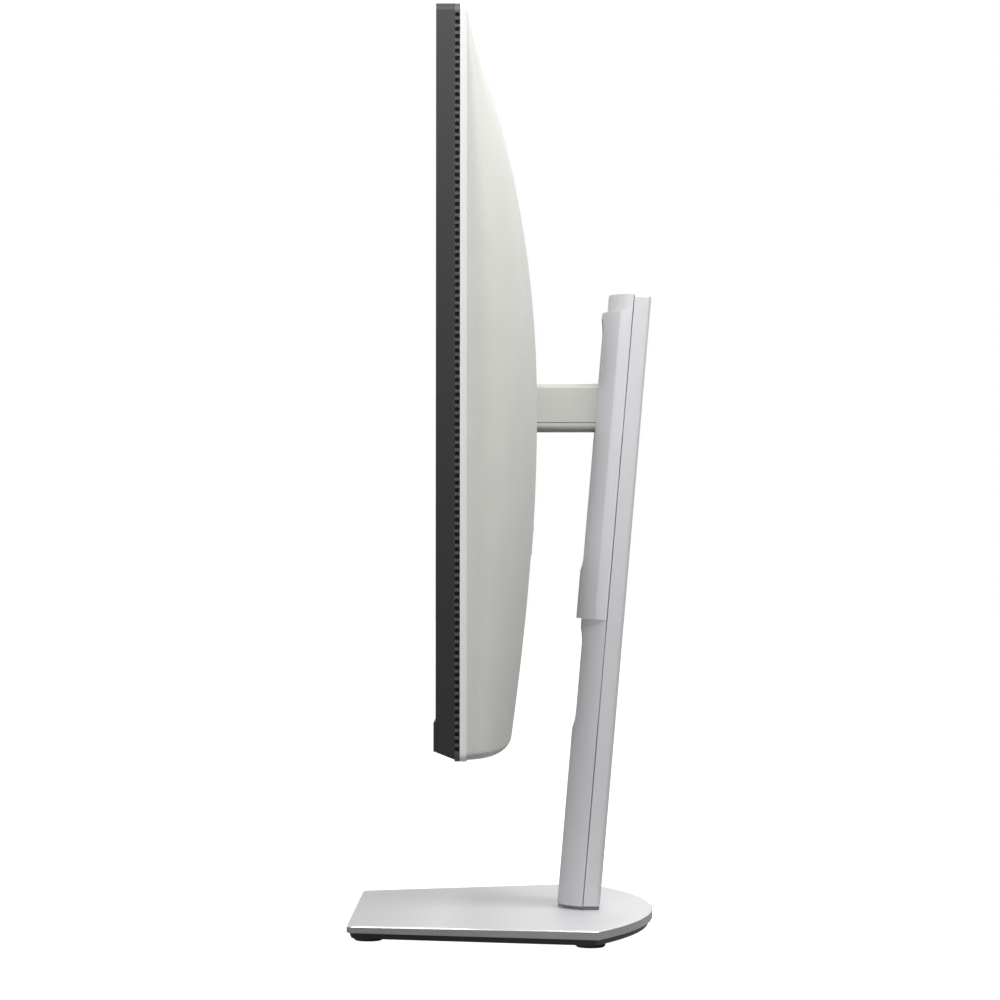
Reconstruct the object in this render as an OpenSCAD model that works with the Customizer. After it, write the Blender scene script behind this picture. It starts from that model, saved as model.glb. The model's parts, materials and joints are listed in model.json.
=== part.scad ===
// Desktop computer monitor on a height-adjustable stand.
// The screen faces -Y, +Z is up, and the origin is on the desk under the middle of the whole object.

/* [Display] */
// Width of the display head
head_w = 611; // [560:1:640]
// Height of the display head
head_h = 356; // [330:1:380]
// Height of the head's lower edge above the desk
head_lift = 109.5; // [90:0.5:130]
// Y of the dark frame's front face
front_y = -32; // [-40:0.5:-28]
// Depth of the dark front frame
frame_d = 8.8; // [7:0.1:11]
// Depth of the slotted vent strip
vent_d = 2.5; // [2:0.1:4]
// Depth of the straight rim of the rear cover
rim_d = 3.2; // [2:0.1:5]
// How far the rear cover swells behind its rim
swell = 35.6; // [28:0.1:42]
// Wall of the plastic covers
wall = 2.4; // [1.8:0.1:3.5]
// Height of the chin bezel
chin_h = 13.9; // [10:0.1:16]
// How far the chin bezel stands in front of the frame
chin_proud = 1; // [0:0.1:2]

/* [Vents] */
// Number of vent slots down each side
side_slots = 101; // [40:1:101]
// Distance from one side slot to the next
slot_pitch = 3.44; // [3:0.01:3.44]
// Opening of one slot along the strip
slot_open = 2; // [1:0.1:2.4]

/* [Stand] */
// Backward lean of the column in degrees
lean = 4.93; // [0:0.01:8]
// Width of the column
col_w = 50; // [44:1:56]
// Length of the column along its lean
col_len = 349; // [340:1:360]
// Radius of the column's curved front
col_r = 30; // [29:1:34]
// Depth of the curved front half
col_front_d = 14; // [13:0.5:15]
// Depth of the flat rear half
col_rear_d = 9.5; // [8:0.5:12]
// How far the slot cover stands in front of the column
cover_proud = 3; // [2:0.5:4]
// Width of the neck
neck_w = 18; // [16:0.5:18]
// Height of the neck
neck_h = 27.6; // [24:0.1:28]
// Height of the tilt pin above the desk
tilt_z = 296.1; // [280:0.1:310]

/* [Base] */
// Depth of the base, front to back
base_d = 170; // [165:1:180]
// Width of the base's front edge
base_front_w = 190; // [160:1:210]
// Width of the base across its rear corners
base_rear_w = 253; // [220:1:280]
// How far the rear corners are behind the middle of the base
corner_y = 50; // [40:1:60]
// Height of the base's top face at its front edge
base_top = 9.3; // [8.5:0.1:10]

/* [Hidden] */

$fn = 64;
eps = 0.01;

// Display stack, from the front frame to the back of the rear cover
head_mid = head_lift + head_h / 2;
head_top = head_lift + head_h;
vent_y = front_y + frame_d;
rim_y = vent_y + vent_d;
swell_y = rim_y + rim_d;
corner_r = 4;
frame_wall = 1.6;
chin_bottom = head_lift + 4.7;
chin_top = chin_bottom + chin_h;
clip_x = [-240:80:240];
window_top = head_top - frame_wall;
window_x = head_w / 2 - frame_wall;
glass_y = front_y + 0.5;
glass_t = 1.4;
guide_t = 4.4;
chassis_t = 1;
fit_gap = 0.3;

// Pillow shape of the rear cover
crest_z = head_mid - 2.5;
lower_reach = 354;

// Tilt pin and the mount pocket in the rear cover
tilt_y = 13;
pocket_w = 118;
pocket_r = 8;
floor_y = 1.6;
tray_t = 2;
vesa = 100;
vesa_hole_r = 2;
plate_y = floor_y;
mount_t = 2;
mount_half = 55;
release_z = tilt_z - 67;
bracket_y = plate_y + mount_t + 0.6;
bracket_r = 26;
spindle_r = 7;

// Input and output bay
bay_w = 330;
bay_top = 208;
bay_y = -4;
hdmi_x = [-140, -112];
usb_x = [-52, -34];
usb_c_x = -83;
inlet_x = 110;

// Column frame: its origin is at the seam, at the column's foot
foot_y = 44.9;
foot_z = 12.3;
seam = 0.5;
arc_y = col_r - col_front_d;
shell = 2.2;
cover_bottom = 162;
cover_top = 338;
cover_end = 1.2;
slot_w = neck_w + 1;
slot_bottom = 189.4;
slot_top = 335.2;
hole_w = 20;
hole_bottom = 99;
hole_top = 157;
hub_y = foot_y + (col_rear_d - col_front_d) / 2;
hub_r = 8.5;

// Slide parts, in the column frame
rod_x = 13.5;
rod_y = -2.6;
rod_r = 2.2;
bush_wall = 1;
spine_t = 1.6;
spine_back = col_rear_d - shell - 0.4;
spine_half = col_w / 2 - shell - 0.8;
foot_screw_r = 1.2;
axle_r = 1.2;
running = 0.06;
rod_bottom = 163;
rod_top = 343;
carriage_front = -7.6;
carriage_back = 1.8;
carriage_w = 38;
carriage_bottom = 268;
carriage_top = 300;
coil_r = 6.9;
coil_y = -2.9;
coil_z = 254;
coil_w = 14;
strip_y = 4.8;
pin_r = 3;
core_w = 12;
core_h = 20;
knuckle_w = 6;
washer_t = 0.4;
ear_t = 3.2;
knuckle_r = 6.4;
neck_end = 70;
neck_screw_y = [31, 45];
neck_screw_r = 1.4;
neck_wall = 2;
neck_seam = tilt_z - 9.2;

// Base
base_half = base_d / 2;
plate_bottom = 5.6;
under_bottom = 2.4;
plate_slope = 0.45;
feet = [[78, -73.7], [-78, -73.7], [108, 46.3], [-108, 46.3]];
foot_pad_r = 8;
under_roof = 2.2;
screw_head_h = 1.3;
rib_t = 1.6;
bolt_r = 3;
retainer_drop = 1.7;
disc_drop = 1.55;
base_screw_at = [[60, -60], [-60, -60], [85, 0], [-85, 0], [60, 62], [-60, 62]];

speaker_x = 205;
speaker_z = 136;
board_y = -18;
board_t = 1.6;

// Controls
button_x = 262;
button_y = -10;
stick_x = -250;
stick_z = 150;
stick_y = swell_y + swell * bulge(stick_x, stick_z, head_w / 2, head_top);
gimbal_y = stick_y - 9;

dark = "#33383b";
silver = "#c9c7cb";
grey_cover = "#cfcfc8";
steel = "#9a9da0";

// ---- helpers ----

// A rounded rectangle in the XZ plane of the display, extruded from y0 to y1
module slab(x, z0, z1, y0, y1, r) {
  translate([0, y1, 0])
    rotate([90, 0, 0])
      linear_extrude(y1 - y0)
        rounded_rect(x, z0, z1, r);
}

module rounded_rect(x, z0, z1, r) {
  translate([-x, z0 + r])
    square([2 * x, z1 - z0 - 2 * r]);
  translate([-x + r, z0])
    square([2 * x - 2 * r, z1 - z0]);
  for (sx = [-1, 1], cz = [z0 + r, z1 - r])
    translate([sx * (x - r), cz])
      circle(r);
}

// A box given by its low and high corners
module box(low, high) {
  translate(low)
    cube(high - low);
}

// A cylinder along Y, from y0 to y1
module rod_along_y(x, z, y0, y1, r) {
  translate([x, y1, z])
    rotate([90, 0, 0])
      cylinder(h = y1 - y0, r = r);
}

// A cylinder along X, from x0 to x1
module rod_along_x(y, z, x0, x1, r) {
  translate([x0, y, z])
    rotate([0, 90, 0])
      cylinder(h = x1 - x0, r = r);
}

// Places the column frame in the world
module leaning() {
  translate([0, foot_y, foot_z])
    rotate([-lean, 0, 0])
      children();
}

// A stadium through the column, along its own Y
module stadium(width, z0, z1, y0, y1) {
  box([-width / 2, y0, z0 + width / 2], [width / 2, y1, z1 - width / 2]);
  for (z = [z0 + width / 2, z1 - width / 2])
    rod_along_y(0, z, y0, y1, width / 2);
}

// How far the rear cover stands out behind its rim at a place on the head
function across(x, a) = pow(max(0, 1 - pow(abs(x) / a, 4)), 0.4);
function above(z, b) = pow(max(0, 1 - pow((z - crest_z) / (b - crest_z), 2.2)), 0.85);
function below(z) = pow(max(0, 1 - pow((crest_z - z) / lower_reach, 2)), 1.8);
function bulge(x, z, a, b) = across(x, a) * (z > crest_z ? above(z, b) : below(z));

// A closed pillow: flat at y0, swelling by depth, between z0 and z1
module pillow(a, z0, z1, y0, y_rim, depth, nx, nz) {
  xs = [for (i = [0:nx]) a * sin(-90 + 180 * i / nx)];
  zs = [for (k = [0:nz]) z0 + (z1 - z0) * (1 - cos(180 * k / nz)) / 2];
  back = [for (z = zs, x = xs) [x, y_rim + depth * bulge(x, z, a, z1), z]];
  row = nx + 1;
  count = row * (nz + 1);
  edge = concat(
    [for (i = [0:nx]) i],
    [for (k = [1:nz]) k * row + nx],
    [for (i = [nx - 1:-1:0]) nz * row + i],
    [for (k = [nz - 1:-1:1]) k * row]
  );
  n = len(edge);
  front = [for (e = edge) [back[e][0], y0, back[e][2]]];
  skin = [
    for (k = [0:nz - 1], i = [0:nx - 1])
      let (p = k * row + i)
        each [[p, p + 1, p + row], [p + 1, p + row + 1, p + row]]
  ];
  sides = [
    for (j = [0:n - 1])
      let (m = (j + 1) % n)
        each [
          [edge[j], count + j, edge[m]],
          [count + j, count + m, edge[m]]
        ]
  ];
  lid = [[for (j = [n - 1:-1:0]) count + j]];
  polyhedron(points = concat(back, front), faces = concat(skin, sides, lid));
}

// ---- base ----

module base_outline(inset) {
  front = base_front_w / 2 - inset;
  rear = base_rear_w / 2 - inset;
  rise = base_half - corner_y;
  arc_r = (pow(base_rear_w / 2, 2) + rise * rise) / (2 * rise) - inset;
  arc_c = base_half - inset - arc_r;
  nose = 5;
  intersection() {
    union() {
      polygon([
        [-front, -base_half + inset + nose], [-front + nose, -base_half + inset],
        [front - nose, -base_half + inset], [front, -base_half + inset + nose],
        [rear, corner_y - 1], [rear, base_half], [-rear, base_half], [-rear, corner_y - 1]
      ]);
      for (s = [-1, 1])
        translate([s * (front - nose), -base_half + inset + nose])
          circle(nose);
    }
    translate([0, arc_c])
      circle(arc_r, $fn = 180);
  }
}

module base_plate() color(silver) {
  top = 14;
  difference() {
    translate([0, 0, plate_bottom])
      linear_extrude(top - plate_bottom)
        base_outline(0);
    translate([-base_rear_w, -base_half, base_top])
      rotate([plate_slope, 0, 0])
        translate([0, -base_d, 0])
          cube([2 * base_rear_w, 3 * base_d, top]);
    translate([0, hub_y, 0])
      cylinder(h = top, r = hub_r + 2);
  }
}

module base_underframe() color("#222326") {
  difference() {
    translate([0, 0, under_bottom])
      linear_extrude(plate_bottom - under_bottom)
        base_outline(2.5);
    linear_extrude(plate_bottom - under_roof)
      difference() {
        base_outline(6);
        translate([0, hub_y])
          circle(25);
        for (x = [-75:30:75])
          translate([x - rib_t / 2, -base_d])
            square([rib_t, 2 * base_d]);
        for (y = [-45:35:60])
          translate([-base_rear_w, y - rib_t / 2])
            square([2 * base_rear_w, rib_t]);
        for (f = feet)
          translate(f)
            circle(foot_pad_r + 3);
        base_screw_places()
          circle(4.5);
      }
    translate([0, hub_y, 0])
      cylinder(h = 20, r = 18);
    for (f = feet)
      translate([f[0], f[1], -1])
        cylinder(h = 4.4, r = foot_pad_r + 0.1);
    base_screw_places()
      cylinder(h = under_bottom + 0.2 + screw_head_h, r = 3.6);
    base_screw_places()
      cylinder(h = 20, r = 1.6);
  }
}

module base_screw_places() {
  for (p = base_screw_at)
    translate(p)
      children();
}

module base_feet() color("#1b1b1d") {
  for (f = feet)
    translate([f[0], f[1], 0]) {
      cylinder(h = 3.4, r = foot_pad_r - 0.6);
      translate([0, 0, 0.6])
        cylinder(h = 2.8, r = foot_pad_r);
    }
}

module base_screws() color(steel) {
  base_screw_places() {
    translate([0, 0, under_bottom + 0.2])
      difference() {
        cylinder(h = screw_head_h, r = 3);
        for (a = [0, 90])
          rotate(a)
            box([-1.8, -0.3, -1], [1.8, 0.3, 0.6]);
      }
    translate([0, 0, under_bottom + screw_head_h])
      cylinder(h = plate_bottom - under_bottom - screw_head_h, r = 1.5);
  }
}

module hub_bushing() color("#e8e6df") {
  translate([0, hub_y, plate_bottom])
    difference() {
      cylinder(h = 4.6, r = hub_r + 2);
      translate([0, 0, -1])
        cylinder(h = 8, r = hub_r + running);
    }
}

module swivel_hub() color(steel) {
  difference() {
    union() {
      translate([0, hub_y, plate_bottom - 0.3])
        cylinder(h = foot_z + 4 - plate_bottom + 0.3, r = hub_r);
      translate([0, foot_y, foot_z - disc_drop])
        linear_extrude(disc_drop - 0.3)
          offset(-0.5)
            column_section(col_r, col_w / 2, col_rear_d);
    }
    translate([0, hub_y, 0])
      cylinder(h = 30, r = bolt_r);
  }
}

module hub_retainer() color(steel) {
  translate([0, hub_y, plate_bottom - retainer_drop])
    difference() {
      cylinder(h = 1.4, r = 15);
      translate([0, 0, -1])
        cylinder(h = 4, r = bolt_r + 0.2);
    }
}

module stand_screw() color("#6d7074") {
  head_z = under_bottom + 0.3;
  translate([0, hub_y, 0])
    difference() {
      union() {
        translate([0, 0, head_z])
          cylinder(h = plate_bottom - retainer_drop - head_z, r = 8);
        translate([0, 0, plate_bottom - retainer_drop])
          cylinder(h = 18, r = bolt_r);
      }
      box([-6.5, -0.8, 0], [6.5, 0.8, head_z + 0.6]);
      for (a = [0:20:340])
        rotate(a)
          translate([8, 0, 0])
            cylinder(h = plate_bottom - retainer_drop - 0.1, r = 0.45, $fn = 6);
    }
}

// ---- column ----

module column_section(r, half, y_back) {
  intersection() {
    translate([0, arc_y])
      circle(r, $fn = 120);
    translate([-half, -col_r - 10])
      square([2 * half, col_r + 10 + y_back]);
  }
}

module floor_cut() {
  box([-60, -60, -40], [60, 60, 0]);
}

module column_front() color(silver) {
  difference() {
    leaning()
      difference() {
        translate([0, 0, -6])
          linear_extrude(col_len + 6)
            column_section(col_r, col_w / 2, -seam);
        translate([0, 0, -10])
          linear_extrude(col_len + 10 - shell)
            column_section(col_r - shell, col_w / 2 - shell, 5);
        stadium(slot_w, slot_bottom, slot_top, -30, 5);
        stadium(hole_w, hole_bottom, hole_top, -30, 5);
      }
    translate([0, foot_y, foot_z])
      floor_cut();
  }
}

module rear_section(inset, r) {
  half = col_w / 2 - inset;
  difference() {
    translate([-half, 0])
      square([2 * half, col_rear_d - inset]);
    for (s = [-1, 1])
      translate([s * (half - r), col_rear_d - inset - r])
        difference() {
          translate([s > 0 ? 0 : -r - 1, 0])
            square(r + 1);
          circle(r);
        }
  }
}

module column_rear_cover() color(silver) {
  difference() {
    leaning()
      difference() {
        translate([0, 0, -6])
          linear_extrude(col_len + 6)
            rear_section(0, 3);
        translate([0, -eps, -10])
          linear_extrude(col_len + 10 - shell)
            rear_section(shell, 1.5);
        translate([0, -5, -10])
          linear_extrude(col_len + 10 - shell)
            square([2 * (col_w / 2 - shell), 12], center = true);
        stadium(hole_w, hole_bottom, hole_top, -5, 20);
      }
    translate([0, foot_y, foot_z])
      floor_cut();
  }
}

module column_spine() color(steel) {
  top = col_len - shell - 0.4;
  leaning()
    difference() {
      box([-spine_half, 0, 8], [spine_half, spine_back, top]);
      box([-spine_half + spine_t, -5, 0], [spine_half - spine_t, spine_back - spine_t, col_len]);
      stadium(hole_w + 3, hole_bottom - 1.5, hole_top + 1.5, -5, 20);
      foot_screw_rods();
    }
}

module column_foot() color(steel) {
  half = spine_half - spine_t;
  difference() {
    leaning()
      difference() {
        translate([0, 0, -6])
          linear_extrude(36)
            column_section(col_r - shell - 0.3, half - 0.1, spine_back - spine_t);
        foot_screw_rods();
      }
    translate([0, foot_y, foot_z])
      floor_cut();
    translate([0, hub_y, 0])
      cylinder(h = foot_z + 4, r = hub_r);
    translate([0, hub_y, 0])
      cylinder(h = 30, r = bolt_r);
  }
}

module foot_screws() color("#6d7074") {
  leaning()
    foot_screw_rods();
}

// The screws that hold the spine to the foot
module foot_screw_rods() {
  for (x = [-14, 14], z = [12, 23])
    rod_along_y(x, z, -2, spine_back, foot_screw_r);
}

module cable_hole_trim() color("#b9b8bc") {
  leaning()
    difference() {
      stadium(hole_w, hole_bottom, hole_top, -11.7, col_rear_d - 0.6);
      stadium(hole_w - 2.4, hole_bottom + 1.2, hole_top - 1.2, -30, 20);
    }
}

module slot_cover() color("#d2d0d3") {
  leaning()
    difference() {
      translate([0, 0, cover_bottom])
        linear_extrude(cover_top - cover_bottom)
          difference() {
            column_section(col_r + cover_proud, col_w / 2, -cover_end);
            translate([0, arc_y])
              circle(col_r, $fn = 120);
          }
      stadium(slot_w, slot_bottom, slot_top, -30, 5);
    }
}

module slide_rods() color("#d8dadb") {
  leaning()
    for (x = [-rod_x, rod_x])
      translate([x, rod_y, rod_bottom])
        cylinder(h = rod_top - rod_bottom, r = rod_r);
}

module rod_blocks() color("#2b2c2f") {
  leaning()
    for (z = [rod_bottom - 3, rod_top - 2.5])
      for (s = [-1, 1])
        difference() {
          box([s * rod_x - 3.2, rod_y - 2.9, z], [s * rod_x + 3.2, spine_back - spine_t, z + 5.4]);
          translate([s * rod_x, rod_y, rod_bottom])
            cylinder(h = rod_top - rod_bottom, r = rod_r);
        }
}

module spring_strip() color(steel) {
  leaning()
    box([-coil_w / 2, strip_y, 170], [coil_w / 2, strip_y + 0.3, 342]);
}

// ---- lift ----

module lift_carriage() color("#55585c") {
  leaning()
    difference() {
      union() {
        translate([0, 0, carriage_bottom])
          linear_extrude(carriage_top - carriage_bottom)
            intersection() {
              column_section(col_r - shell - 0.5, carriage_w / 2, carriage_back);
              translate([-carriage_w / 2, carriage_front])
                square([carriage_w, 20]);
            }
        for (s = [-1, 1])
          box([s * 9.2 - 1.2, -5.6, coil_z - 3], [s * 9.2 + 1.2, -0.2, carriage_bottom + 1]);
      }
      for (x = [-rod_x, rod_x])
        translate([x, rod_y, 200])
          cylinder(h = 150, r = rod_r + bush_wall);
      rod_along_x(coil_y, coil_z, -20, 20, axle_r);
    }
}

module carriage_bushes() color("#e8e6df") {
  leaning()
    for (x = [-rod_x, rod_x], z = [carriage_bottom, carriage_top - 10])
      translate([x, rod_y, z])
        difference() {
          cylinder(h = 10, r = rod_r + bush_wall);
          translate([0, 0, -1])
            cylinder(h = 20, r = rod_r + running);
        }
}

module spring_axle() color(steel) {
  leaning()
    rod_along_x(coil_y, coil_z, -10.6, 10.6, axle_r);
}

module behind_carriage_front() {
  leaning()
    box([-60, carriage_front, 100], [60, 60, 400]);
}

module neck_core() color("#8d9093") {
  bar_y = tilt_y + 8;
  half = knuckle_w / 2;
  difference() {
    union() {
      box([-core_w / 2, bar_y, tilt_z - core_h / 2], [core_w / 2, neck_end, tilt_z + core_h / 2]);
      box([-half, tilt_y, tilt_z - knuckle_r], [half, bar_y + 1, tilt_z + knuckle_r]);
      rod_along_x(tilt_y, tilt_z, -half, half, knuckle_r);
    }
    behind_carriage_front();
    rod_along_x(tilt_y, tilt_z, -20, 20, pin_r + 0.05);
  }
}

module neck_profile(h, w, r) {
  translate([-w / 2, -h / 2 + r])
    square([w, h - 2 * r]);
  translate([-w / 2 + r, -h / 2])
    square([w - 2 * r, h]);
  for (sx = [-1, 1], sz = [-1, 1])
    translate([sx * (w / 2 - r), sz * (h / 2 - r)])
      circle(r);
}

module neck_tube() {
  cover_front = tilt_y - 1;
  difference() {
    translate([0, neck_end, tilt_z])
      rotate([90, 0, 0])
        linear_extrude(neck_end - cover_front)
          neck_profile(neck_h, neck_w, 3.4);
    translate([0, 80, tilt_z])
      rotate([90, 0, 0])
        linear_extrude(90)
          square([neck_w - 2 * neck_wall, neck_h - 2 * neck_wall], center = true);
    leaning()
      box([-60, -11, 100], [60, 60, 400]);
  }
}

module neck_upper_cover() color(grey_cover) {
  difference() {
    neck_tube();
    box([-30, 0, 200], [30, 90, neck_seam + 0.15]);
  }
}

module neck_lower_cover() color(grey_cover) {
  difference() {
    neck_tube();
    box([-30, 0, neck_seam - 0.15], [30, 90, 350]);
    for (y = neck_screw_y)
      translate([0, y, 270])
        cylinder(h = 20, r = neck_screw_r + 0.1);
  }
}

module neck_screws() color("#6d7074") {
  under = tilt_z - neck_h / 2;
  for (y = neck_screw_y)
    translate([0, y, under + 0.5])
      cylinder(h = tilt_z - core_h / 2 - under - 0.5, r = neck_screw_r);
}

module tilt_pin() color("#d8dadb") {
  half = knuckle_w / 2 + washer_t + ear_t + 0.1;
  rod_along_x(tilt_y, tilt_z, -half, half, pin_r);
}

module tilt_washers() color("#3a3c3f") {
  middle = (knuckle_w + washer_t) / 2;
  for (s = [-1, 1])
    difference() {
      rod_along_x(tilt_y, tilt_z, s * middle - washer_t / 2, s * middle + washer_t / 2, knuckle_r);
      rod_along_x(tilt_y, tilt_z, -20, 20, pin_r);
    }
}

module spring_coil() color("#aeb2b5") {
  leaning()
    difference() {
      union() {
        rod_along_x(coil_y, coil_z, -coil_w / 2, coil_w / 2, coil_r);
        rod_along_x(coil_y, coil_z, -coil_w / 2 - 0.4, coil_w / 2 + 0.4, 3);
      }
      rod_along_x(coil_y, coil_z, -20, 20, axle_r + running);
    }
}

// ---- tilt bracket and pivot ----

module tilt_bracket() color("#7b7e82") {
  ear_x = knuckle_w / 2 + washer_t;
  difference() {
    union() {
      rod_along_y(0, tilt_z, bracket_y, bracket_y + 2, bracket_r);
      for (s = [-1, 1]) {
        x = s * (ear_x + ear_t / 2);
        box([x - ear_t / 2, bracket_y, tilt_z - 7], [x + ear_t / 2, tilt_y, tilt_z + 7]);
        rod_along_x(tilt_y, tilt_z, x - ear_t / 2, x + ear_t / 2, 7);
      }
    }
    rod_along_x(tilt_y, tilt_z, -20, 20, pin_r + 0.05);
    rod_along_y(0, tilt_z, 0, bracket_y + 1, spindle_r);
  }
}

module pivot_spindle() color("#d8dadb") {
  difference() {
    rod_along_y(0, tilt_z, plate_y - 4.2, bracket_y + 1, spindle_r);
    rod_along_y(0, tilt_z, plate_y - 6, bracket_y - 2, 2.5);
  }
}

module pivot_washers() color("#e8e6df") {
  difference() {
    rod_along_y(0, tilt_z, plate_y + mount_t + 0.1, bracket_y, 20);
    rod_along_y(0, tilt_z, -20, 20, spindle_r);
  }
}

module pivot_nut() color(steel) {
  difference() {
    union() {
      rod_along_y(0, tilt_z, plate_y - 1.7, plate_y - 0.1, 12);
      translate([0, plate_y - 1.7, tilt_z])
        rotate([90, 30, 0])
          cylinder(h = 2.4, r = 11, $fn = 6);
    }
    rod_along_y(0, tilt_z, -20, 20, spindle_r);
  }
}

// ---- display mount ----

module mount_plate() color(steel) {
  difference() {
    slab(43, tilt_z - mount_half, tilt_z + mount_half, plate_y, plate_y + mount_t, 5);
    rod_along_y(0, tilt_z, -20, 20, spindle_r + running);
  }
}

module pocket_solid(x, r, y0) {
  slab(x, tilt_z - x, tilt_z + x, y0, 30, r);
}

module mount_tray() color("#3d4043") {
  x = pocket_w / 2;
  difference() {
    pocket_solid(x - 0.2, pocket_r, floor_y - tray_t);
    pocket_solid(x - tray_t, pocket_r - tray_t, floor_y);
    box([-x, 14, tilt_z - x], [x, 40, tilt_z + x]);
    rod_along_y(0, tilt_z, -20, 20, 14);
    vesa_places()
      rod_along_y(0, 0, -20, 20, vesa_hole_r + 0.4);
    box([-7.4, -20, tilt_z - x - 1], [7.4, floor_y + 8, tilt_z - 50.5]);
  }
}

module vesa_places() {
  for (x = [-vesa / 2, vesa / 2], z = [-vesa / 2, vesa / 2])
    translate([x, 0, tilt_z + z])
      children();
}

module vesa_plate() color(steel) {
  y1 = floor_y - tray_t;
  difference() {
    union() {
      slab(58, tilt_z - 58, tilt_z + 58, y1 - 1.6, y1, 6);
      vesa_places()
        rod_along_y(0, 0, y1 - 8, y1 - 1, 4.5);
    }
    rod_along_y(0, tilt_z, -30, 20, 20);
    vesa_places()
      rod_along_y(0, 0, -20, 20, vesa_hole_r);
    box([-12, -30, tilt_z - 60], [12, 20, tilt_z - 46]);
  }
}

// The push button that lets the stand's plate go, in a window below the pocket
module release_button() color("#2b2c2f") {
  slab(9, release_z - 4.5, release_z + 4.5, 7.5, 17.3, 2);
  slab(10.4, release_z - 5.9, release_z + 5.9, 6, 7.6, 2);
}

// A hook whose lip reaches up behind the plate's lower edge
module release_latch() color(steel) {
  edge = tilt_z - mount_half;
  lip_y = plate_y + mount_t + fit_gap;
  box([-7, floor_y - 9, edge - 3.4], [7, floor_y - 6.8, edge + 6]);
  box([-4, floor_y - 6.9, edge - 3.4], [4, lip_y + 1.3, edge - 0.4]);
  box([-4, lip_y, edge - 0.5], [4, lip_y + 1.3, edge + 1.6]);
}

// ---- display shells ----

module bevel_cut() {
  translate([0, rim_y, head_lift])
    rotate([-22, 0, 0])
      translate([-head_w, -60, -30])
        cube([2 * head_w, 60, 30]);
}

module front_frame() color(dark) {
  difference() {
    slab(head_w / 2, head_lift, head_top, front_y, vent_y, corner_r);
    slab(window_x, chin_top + 0.2, window_top, front_y - 1, glass_y + glass_t + guide_t + chassis_t, 2.6);
    slab(window_x - 2, chin_bottom, window_top - 2, glass_y + glass_t + guide_t, vent_y + 1, 2);
    box([-head_w, front_y - 5, chin_bottom - 0.2], [head_w, front_y + 1, chin_top + 0.2]);
    bevel_cut();
    for (x = clip_x)
      box([x - 5.2, front_y, chin_bottom + 5], [x + 5.2, front_y + 6, chin_bottom + 8]);
  }
}

module chin_bezel() color("#3a3f43") {
  box([-head_w / 2, front_y - chin_proud, chin_bottom], [head_w / 2, front_y + 0.9, chin_top]);
  for (x = clip_x)
    box([x - 5, front_y + 0.8, chin_bottom + 5.2], [x + 5, front_y + 5.8, chin_bottom + 7.8]);
}

module lcd_glass() color("#0c0e10") {
  slab(window_x - fit_gap, chin_top + 0.4, window_top - fit_gap, glass_y, glass_y + glass_t, 2.3);
}

module light_guide() color("#eef2f2") {
  slab(window_x - 3, chin_top + 5, window_top - 3, glass_y + glass_t, glass_y + glass_t + guide_t, 1);
}

module led_strip() color("#f4f1c9") {
  y = glass_y + glass_t;
  box([-window_x + 6, y, chin_top + 0.6], [window_x - 6, y + guide_t, chin_top + 1.8]);
  for (x = [-285:15:285])
    box([x - 2.5, y + 0.8, chin_top + 1.8], [x + 2.5, y + 3.6, chin_top + 2.8]);
}

module panel_chassis() color(steel) {
  y = glass_y + glass_t + guide_t;
  slab(window_x - fit_gap, chin_top + 0.5, window_top - fit_gap, y, y + chassis_t, 2);
}

module vent_strip() color("#202325") {
  y0 = vent_y;
  y1 = rim_y;
  first = head_mid - slot_pitch * (side_slots - 1) / 2;
  difference() {
    slab(head_w / 2, head_lift, head_top, y0, y1, corner_r);
    slab(head_w / 2 - 2, head_lift + 2, head_top - 2, y0 - 1, y1 + 1, 2);
    bevel_cut();
    for (k = [0:side_slots - 1])
      box([-head_w, y0 + 0.1, first + slot_pitch * k - slot_open / 2],
          [head_w, y1 - 0.2, first + slot_pitch * k + slot_open / 2]);
  }
}

module rear_cover() color(grey_cover) {
  a = head_w / 2;
  low = head_lift + wall;
  top = head_top - wall;
  resize([head_w, 0, 0])
    difference() {
      pillow(a, head_lift, head_top, rim_y, swell_y, swell, 20, 14);
      pillow(a - wall, low, top, rim_y - 1, swell_y - 0.6, swell - wall, 12, 8);
      pocket_solid(pocket_w / 2, pocket_r, -10);
      box([-bay_w / 2, bay_y - 2.2, head_lift - 5], [bay_w / 2, 60, bay_top + 2]);
      rod_along_y(stick_x, stick_z, -15, 40, 12.2);
      slab(9.4, release_z - 4.9, release_z + 4.9, 0, 40, 2.3);
      translate([button_x, button_y, head_lift - 5])
        cylinder(h = 20, r = 5.2);
    }
}

// ---- electronics ----

module main_board() color("#2f6b45") {
  y = board_y + board_t;
  box([-150, board_y, 215], [-62, y, 330]);
  for (z = [235, 262, 300], x = [-132, -100])
    box([x, y, z], [x + 14, y + 1.8, z + 14]);
}

module power_board() color("#c9a860") {
  y = board_y + board_t;
  box([62, board_y, 215], [150, y, 330]);
  for (x = [80, 104, 128])
    translate([x, y, 300])
      rotate([-90, 0, 0])
        cylinder(h = 14, r = 8);
  box([76, y, 232], [110, y + 16.4, 262]);
}

module heat_sink() color("#b9bcbf") {
  y = board_y + board_t + 1.8;
  box([-136, y, 232], [-84, y + 2, 286]);
  for (x = [-134:6:-86])
    box([x, y + 2, 232], [x + 1.6, y + 10, 286]);
}

module shield_can() color(steel) {
  y0 = -23.5;
  difference() {
    slab(160, 211, 345, y0, y0 + 4, 4);
    slab(159, 212, 344, y0 + 1, y0 + 10, 3);
  }
}

// ---- sockets ----

module bay_openings() {
  for (x = hdmi_x)
    box([x - 7.8, 0, bay_top - 5], [x + 7.8, 5.8, bay_top + 5]);
  for (x = usb_x)
    box([x - 6.8, 0, bay_top - 5], [x + 6.8, 5.6, bay_top + 5]);
  box([usb_c_x - 4.6, 1.3, bay_top - 5], [usb_c_x + 4.6, 4.7, bay_top + 5]);
  box([inlet_x - 14, -1.5, bay_top - 5], [inlet_x + 14, 8.5, bay_top + 5]);
}

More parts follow.
